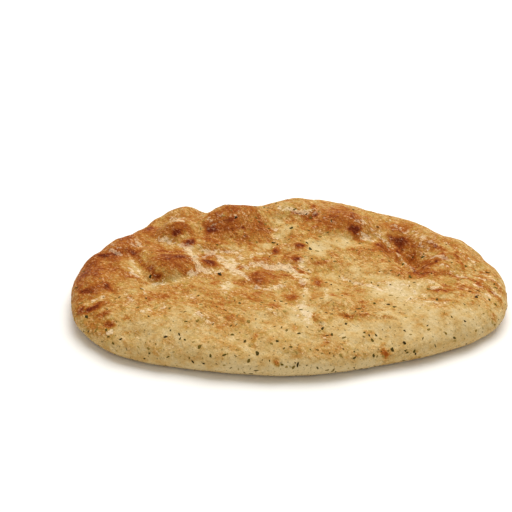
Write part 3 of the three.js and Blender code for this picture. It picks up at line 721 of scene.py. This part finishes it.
class Finish:
    # a material and the one way that nodes are added to it
    def __init__(self, name):
        self.material = bpy.data.materials.new(name)
        self.material.use_nodes = True
        self.tree = self.material.node_tree
        self.tree.nodes.clear()

    def node(self, kind, settings=None, values=None, output=0):
        made = self.tree.nodes.new("ShaderNode" + kind)
        for name, value in (settings or {}).items():
            if name == "stops":
                self.fillRamp(made.color_ramp, value)
            else:
                setattr(made, name, value)
        for name, value in (values or {}).items():
            if isinstance(value, Wire):
                self.tree.links.new(value.socket, made.inputs[name])
            else:
                made.inputs[name].default_value = value
        return Wire(self, made.outputs[output])

    def fillRamp(self, ramp, stops):
        while len(ramp.elements) < len(stops):
            ramp.elements.new(1)
        for element, (place, colour) in zip(ramp.elements, stops):
            element.position = place
            element.color = paint(colour)

    def blend(self, share, first, second):
        settings = {"data_type": "RGBA", "clamp_factor": True}
        return self.node("Mix", settings, {0: share, 6: first, 7: second}, output=2)

    def close(self, shader):
        out = self.tree.nodes.new("ShaderNodeOutputMaterial")
        self.tree.links.new(shader.socket, out.inputs["Surface"])
        return self.material


def paint(hexColour):
    # a colour as it looks, six hex digits, as Blender's linear values
    parts = np.array([int(hexColour[i:i + 2], 16) for i in (0, 2, 4)]) / 255
    linear = np.where(parts <= 0.04045, parts / 12.92, ((parts + 0.055) / 1.055) ** 2.4)
    return (*linear.tolist(), 1)


crustLook = {
    "stops": [(0.0, "d2b988"), (0.2, "caa96e"), (0.4, "bb8c49"), (0.55, "ae722e"),
              (0.7, "a05a1a"), (0.82, "8e450e"), (0.92, "7a3307"), (1.0, "622003")],
    "flour": "e0c8a3",
    # the pale flecks: dry skin together with painted glints
    "fleckAndGlint": "d6b287",
    "herbDust": "5a4c26",
    "burnt": "6b3410",
    "olive": "a98a3c",
    # lumps a metre of each noise, broad blotches first; the streaks and hairs run along the sheet
    "blotch": 150,
    "grain": 420,
    "speckle": 1000,
    "grit": 1900,
    "streak": 450,
    "hair": 950,
    "oliveLumps": 260,
    "oliveShare": 0.42,
    # the streaks bend: bends a metre and how far
    "bends": 45,
    "bendDepth": 0.008,
    # how much each noise browns the crust
    "blotchToast": 1.0,
    "grainToast": 1.0,
    "speckleToast": 0.25,
    "streakToast": 0.4,
    "hairToast": 0.35,
    # how much each lightens and darkens it
    "gritShade": 1.2,
    "speckleShade": 0.6,
    "hairShade": 0.8,
    "paleTexture": 0.32,  # share of the fine texture that is left where the crust is pale
    # how strongly the specks cover the crust
    "fleckAndGlintShare": 0.5,
    "burntShare": 0.5,
    "dustShare": 0.85,
    "herbDustShare": 0.55,
    "roughness": 0.6,
    "flourRoughness": 0.85,
    "gloss": 0.06,
    "bumpDepth": 0.0016,
    "bumpStrength": 0.5,
}


def breadFinish():
    finish = Finish("crust")
    place = finish.node("TexCoord", output=3)
    toast = finish.node("Attribute", {"attribute_name": "toast"}, output=2)
    flour = finish.node("Attribute", {"attribute_name": "flour"}, output=2)

    def noise(scale, detail=2.0, roughness=0.5, where=place):
        values = {"Vector": where, "Scale": scale, "Detail": detail, "Roughness": roughness}
        return finish.node("TexNoise", {}, values) - 0.5

    # the place with x and y turned to run along the streaks, where they are stretched
    x, y, z = (finish.node("SeparateXYZ", {}, {"Vector": place}, output=axis) for axis in range(3))
    along, across = turned(x, y, crust["streakTurn"])
    across = across + noise(crustLook["bends"], 1.0) * crustLook["bendDepth"]
    stretched = finish.node("CombineXYZ", {}, {"X": along * 0.5, "Y": across, "Z": z})

    blotch = noise(crustLook["blotch"], 3.0, 0.6)
    grain = noise(crustLook["grain"], 3.0, 0.6)
    speckle = noise(crustLook["speckle"], 2.0, 0.6)
    grit = noise(crustLook["grit"], 1.0)
    streak = noise(crustLook["streak"], 2.0, 0.6, stretched)
    hair = noise(crustLook["hair"], 2.0, 0.6, stretched)
    texture = toast.between(0.12, 0.42) * (1 - crustLook["paleTexture"]) + crustLook["paleTexture"]
    mottled = grain * crustLook["grainToast"] + speckle * crustLook["speckleToast"]
    mottled = mottled - streak * crustLook["streakToast"] - hair * crustLook["hairToast"]
    mottled = blotch * crustLook["blotchToast"] + mottled * texture
    brown = (toast + mottled * (1 - toast * 0.7)).clamped()
    colour = finish.node("ValToRGB", {"stops": crustLook["stops"]}, {"Fac": brown})

    # yellower lumps where the skin is hardly browned
    golden = noise(crustLook["oliveLumps"], 2.0).between(0.0, 0.15) * toast.between(0.1, 0.3)
    golden = golden * (-toast).between(-0.7, -0.5) * crustLook["oliveShare"]
    colour = finish.blend(golden, colour, paint(crustLook["olive"]))

    # pale flecks on the browned parts, dry skin together with painted glints where highlights would be, and
    # the flour caught in the dips
    flecksAndGlints = (hair * 1.3 + streak * 0.7 + grit * 0.6).between(0.12, 0.2) * toast.between(0.15, 0.45)
    flecksAndGlints = flecksAndGlints * crustLook["fleckAndGlintShare"] * (1.25 - toast).clamped()
    colour = finish.blend(flecksAndGlints, colour, paint(crustLook["fleckAndGlint"]))
    burnt = noise(crustLook["speckle"] * 0.9, 1.0).between(0.14, 0.22) * toast.between(0.35, 0.6)
    burnt = burnt * crustLook["burntShare"]
    colour = finish.blend(burnt, colour, paint(crustLook["burnt"]))
    dust = (flour + grain * 1.8 + speckle * 1.1 + hair * 1.4).between(0.44, 0.76)
    dust = dust * crustLook["dustShare"] * (1.2 - toast).clamped()
    colour = finish.blend(dust, colour, paint(crustLook["flour"]))
    pale = (flecksAndGlints + dust).clamped()
    herbDust = noise(crustLook["speckle"] * 0.8, 1.0).between(0.17, 0.24) * crustLook["herbDustShare"]
    colour = finish.blend(herbDust, colour, paint(crustLook["herbDust"]))
    shade = grit * crustLook["gritShade"] + speckle * crustLook["speckleShade"]
    shade = (shade + hair * crustLook["hairShade"]) * texture + 1
    colour = finish.node("VectorMath", {"operation": "SCALE"}, {0: colour, "Scale": shade})

    height = blotch * 0.6 + grain * 0.7 + speckle * 0.4 + grit * 0.2 + streak * 0.3
    bump = finish.node("Bump", {}, {
        "Strength": crustLook["bumpStrength"],
        "Distance": crustLook["bumpDepth"],
        "Height": height,
    })
    spread = crustLook["flourRoughness"] - crustLook["roughness"]
    shader = finish.node("BsdfPrincipled", {}, {
        "Base Color": colour,
        "Roughness": pale * spread + crustLook["roughness"],
        "Normal": bump,
        "Specular IOR Level": crustLook["gloss"],
    })
    return finish.close(shader)


bread.data.materials.append(breadFinish())
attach(bread, "root")
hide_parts("naan")

herbs = {
    "count": 2200,
    "edge": 0.985,  # how far out on the sheet they lie, 1 being its border
    # the first flakes are the large ones that the solid has too
    "largeCount": 64,
    "largeEdge": 0.93,
    "longestLarge": 2.9,
    "shortestLarge": 1.5,
    # the ones that stand out: place on the unrolled sheet and length
    "standOut": [(-58, -64.8, 2.2), (-13.9, -74, 2.5), (-29.7, -76, 2.5), (-48.5, -82, 2),
                 (-27.5, -57, 1.8), (2, -70.5, 2), (52.5, -67.5, 2.6), (37, -41, 2.8), (58, -63, 2.2),
                 (34, -75.5, 2.4), (41, -62, 2.2), (29, -53.5, 1.8), (75, 16, 3), (96, -27, 2.6),
                 (98, -20.5, 2.2), (-51, -66, 1.6), (19, -62, 1.6), (-70, -75, 1.8), (-90, -62, 1.6)],
    "longestSmall": 2.4,
    "shortestSmall": 0.4,
    "slimmest": 0.28,
    "fullest": 0.75,
    "proud": 0.15,  # how far a flake stands out of the skin
    "thick": 0.4,
    "corners": 7,
    "uneven": 0.5,
    # even, never repeating fractions that place, size, thin out, shape and tint the flakes
    "stepU": 0.7548776662,
    "stepV": 0.569840291,
    "stepSize": 0.6180339887,
    "stepKeep": 0.3247179572,
    "stepSlim": 0.4142135624,
    "stepTone": 0.381966,
    "standOutTone": 0.4,  # these and the large ones are darker than the rest
    "largeTone": 0.75,
    # the small ones are fewer on the browned top: their share there, and where the front starts
    "topShare": 0.4,
    "frontStart": 20,
    "frontFade": 25,
    "dark": "2e2206",
    "green": "544610",
    "dry": "866c2c",
    "palest": "a88c4c",
    "roughness": 0.8,
    "gloss": 0.1,
}


def makeHerbs():
    # a flake is a low disc of uneven corners, half its length or width times (1 + uneven noise) from its
    # middle, laid on the skin at places that two even fractions give
    i = np.arange(herbs["count"])
    large = i < herbs["largeCount"]
    edge = np.where(large, herbs["largeEdge"], herbs["edge"])
    u = edge * (2 * ((0.5 + i * herbs["stepU"]) % 1) - 1)
    v = edge * (2 * ((0.5 + i * herbs["stepV"]) % 1) - 1)
    size = (i * herbs["stepSize"]) % 1
    largeLength = herbs["shortestLarge"] + (herbs["longestLarge"] - herbs["shortestLarge"]) * size**2
    smallLength = herbs["shortestSmall"] + (herbs["longestSmall"] - herbs["shortestSmall"]) * size**3.5
    length = np.where(large, largeLength, smallLength)
    # the last flakes take the places of the ones that stand out
    standOut = np.array(herbs["standOut"])
    last = i >= len(i) - len(standOut)
    u[last], v[last] = sheetPlace(standOut[:, 0], standOut[:, 1])
    length[last] = standOut[:, 2]

    slimness = herbs["slimmest"] + (herbs["fullest"] - herbs["slimmest"]) * ((i * herbs["stepSlim"]) % 1)
    step = 0.002  # in the sheet's own unit, to take the normal over
    place = intoBox(skin(u, v)[0])
    alongU = intoBox(skin(u + step, v)[0]) - place
    alongV = intoBox(skin(u, v + step)[0]) - place
    normal = np.cross(alongU, alongV)
    normal /= np.linalg.norm(normal, axis=-1, keepdims=True)
    forward = alongU / np.linalg.norm(alongU, axis=-1, keepdims=True)
    sideways = np.cross(normal, forward)
    turn = 2 * np.pi * size + i
    first = forward * np.cos(turn)[:, None] + sideways * np.sin(turn)[:, None]
    second = np.cross(normal, first)

    corners = herbs["corners"]
    around = 2 * np.pi * np.arange(corners) / corners
    uneven = 1 + herbs["uneven"] * cornerValue(i[:, None], np.arange(corners)[None], 0 * i[:, None], 5)
    # three rows of a flake: its flat foot in the dough, its shoulder and its top
    rows = [(0.9, herbs["proud"] - herbs["thick"]), (1.0, herbs["proud"] * 0.5), (0.75, herbs["proud"])]
    points = []
    for width, height in rows:
        long = 0.5 * length[:, None] * uneven * width * np.cos(around)
        wide = 0.5 * (length * slimness)[:, None] * uneven * width * np.sin(around)
        row = place[:, None] + first[:, None] * long[..., None] + second[:, None] * wide[..., None]
        points.append(row + normal[:, None] * height)
    points = np.stack(points, axis=1)
    points[..., 2] = np.maximum(points[..., 2], 0)
    front = smoothStep((-place[:, 1] - herbs["frontStart"]) / herbs["frontFade"])
    share = herbs["topShare"] + (1 - herbs["topShare"]) * front
    kept = large | last | ((i * herbs["stepKeep"]) % 1 < share)
    points = points[kept]
    shade = np.select([last, large], [herbs["standOutTone"], herbs["largeTone"]], 1)[kept]
    i = np.arange(len(points))

    base = (i * 3 * corners)[:, None]
    k = np.arange(corners)
    after = (k + 1) % corners
    faces = []
    for row in range(2):
        low, high = base + row * corners, base + (row + 1) * corners
        faces += np.stack([low + k, low + after, high + after, high + k], axis=-1).reshape(-1, 4).tolist()
    faces += (base + 2 * corners + k).tolist()
    faces += (base + k[::-1]).tolist()
    piece = meshPiece("herbs", points.reshape(-1, 3), faces)
    tone = ((i * herbs["stepTone"]) % 1) * shade
    paintPoints(piece, "tone", np.repeat(tone, 3 * corners))
    return piece


def herbFinish():
    finish = Finish("herb flakes")
    tone = finish.node("Attribute", {"attribute_name": "tone"}, output=2)
    stops = [(0.0, herbs["dark"]), (0.3, herbs["green"]), (0.7, herbs["dry"]), (1.0, herbs["palest"])]
    colour = finish.node("ValToRGB", {"stops": stops}, {"Fac": tone})
    shader = finish.node("BsdfPrincipled", {}, {
        "Base Color": colour,
        "Roughness": herbs["roughness"],
        "Specular IOR Level": herbs["gloss"],
    })
    return finish.close(shader)


herbFlakes = makeHerbs()
herbFlakes.data.materials.append(herbFinish())
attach(herbFlakes, "root")
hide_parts("naan")
print("herbs laid,", len(herbFlakes.data.vertices) // (3 * herbs["corners"]), "flakes")

studio = {
    "floorSize": 6,
    "floorColour": "fafaf8",
    "floorRoughness": 0.9,
    "floorGloss": 0.1,
    "floorDrop": 0.0001,
    "skyColour": (1, 0.96, 0.88, 1),
    "skyStrength": 0.52,
    "lamp": (0.2, 0.5, 1.4),
    "lampSize": 1.4,
    "lampPower": 23.6,
}


def makeStudio():
    half = studio["floorSize"] / 2 / mm
    low = -studio["floorDrop"] / mm
    corners = np.array([[-half, -half, low], [half, -half, low], [half, half, low], [-half, half, low]])
    floor = meshPiece("floor", corners, [[0, 1, 2, 3]])
    finish = Finish("floor")
    shader = finish.node("BsdfPrincipled", {}, {
        "Base Color": paint(studio["floorColour"]),
        "Roughness": studio["floorRoughness"],
        "Specular IOR Level": studio["floorGloss"],
    })
    floor.data.materials.append(finish.close(shader))

    world = bpy.data.worlds.new("studio")
    world.use_nodes = True
    sky = world.node_tree.nodes["Background"]
    sky.inputs["Color"].default_value = studio["skyColour"]
    sky.inputs["Strength"].default_value = studio["skyStrength"]
    bpy.context.scene.world = world

    light = bpy.data.lights.new("lamp", "AREA")
    light.size = studio["lampSize"]
    light.energy = studio["lampPower"]
    lamp = bpy.data.objects.new("lamp", light)
    lamp.location = studio["lamp"]
    lamp.rotation_euler = (-Vector(studio["lamp"])).to_track_quat("-Z", "Y").to_euler()
    bpy.context.scene.collection.objects.link(lamp)


shot = {
    "height": 32,  # degrees above the table
    "distance": 0.62,  # from the target
    "target": (0, 0, 0.008),
    "pixelsPerMetre": 1810,
    "targetPixel": (289.4, 276.5),
    "imageWidth": 512,
    "sensor": 36,
}


def makeCamera():
    # the picture's middle is moved off the target so that the target lands on its pixel
    height = np.radians(shot["height"])
    back = Vector((0, -np.cos(height), np.sin(height)))
    up = Vector((0, np.sin(height), np.cos(height)))
    target = Vector(shot["target"])
    middle = shot["imageWidth"] / 2
    right = (middle - shot["targetPixel"][0]) / shot["pixelsPerMetre"]
    rise = (shot["targetPixel"][1] - middle) / shot["pixelsPerMetre"]
    aim = target + Vector((1, 0, 0)) * right + up * rise
    eye = target + back * shot["distance"]
    data = bpy.data.cameras.new("camera")
    data.sensor_width = shot["sensor"]
    data.lens = shot["pixelsPerMetre"] * shot["distance"] / shot["imageWidth"] * shot["sensor"]
    data.clip_start = 0.01
    camera = bpy.data.objects.new("camera", data)
    camera.location = eye
    camera.rotation_euler = (aim - eye).to_track_quat("-Z", "Y").to_euler()
    bpy.context.scene.collection.objects.link(camera)
    bpy.context.scene.camera = camera
    bpy.context.scene.view_settings.view_transform = "Standard"


makeStudio()
makeCamera()
print("studio and camera set")
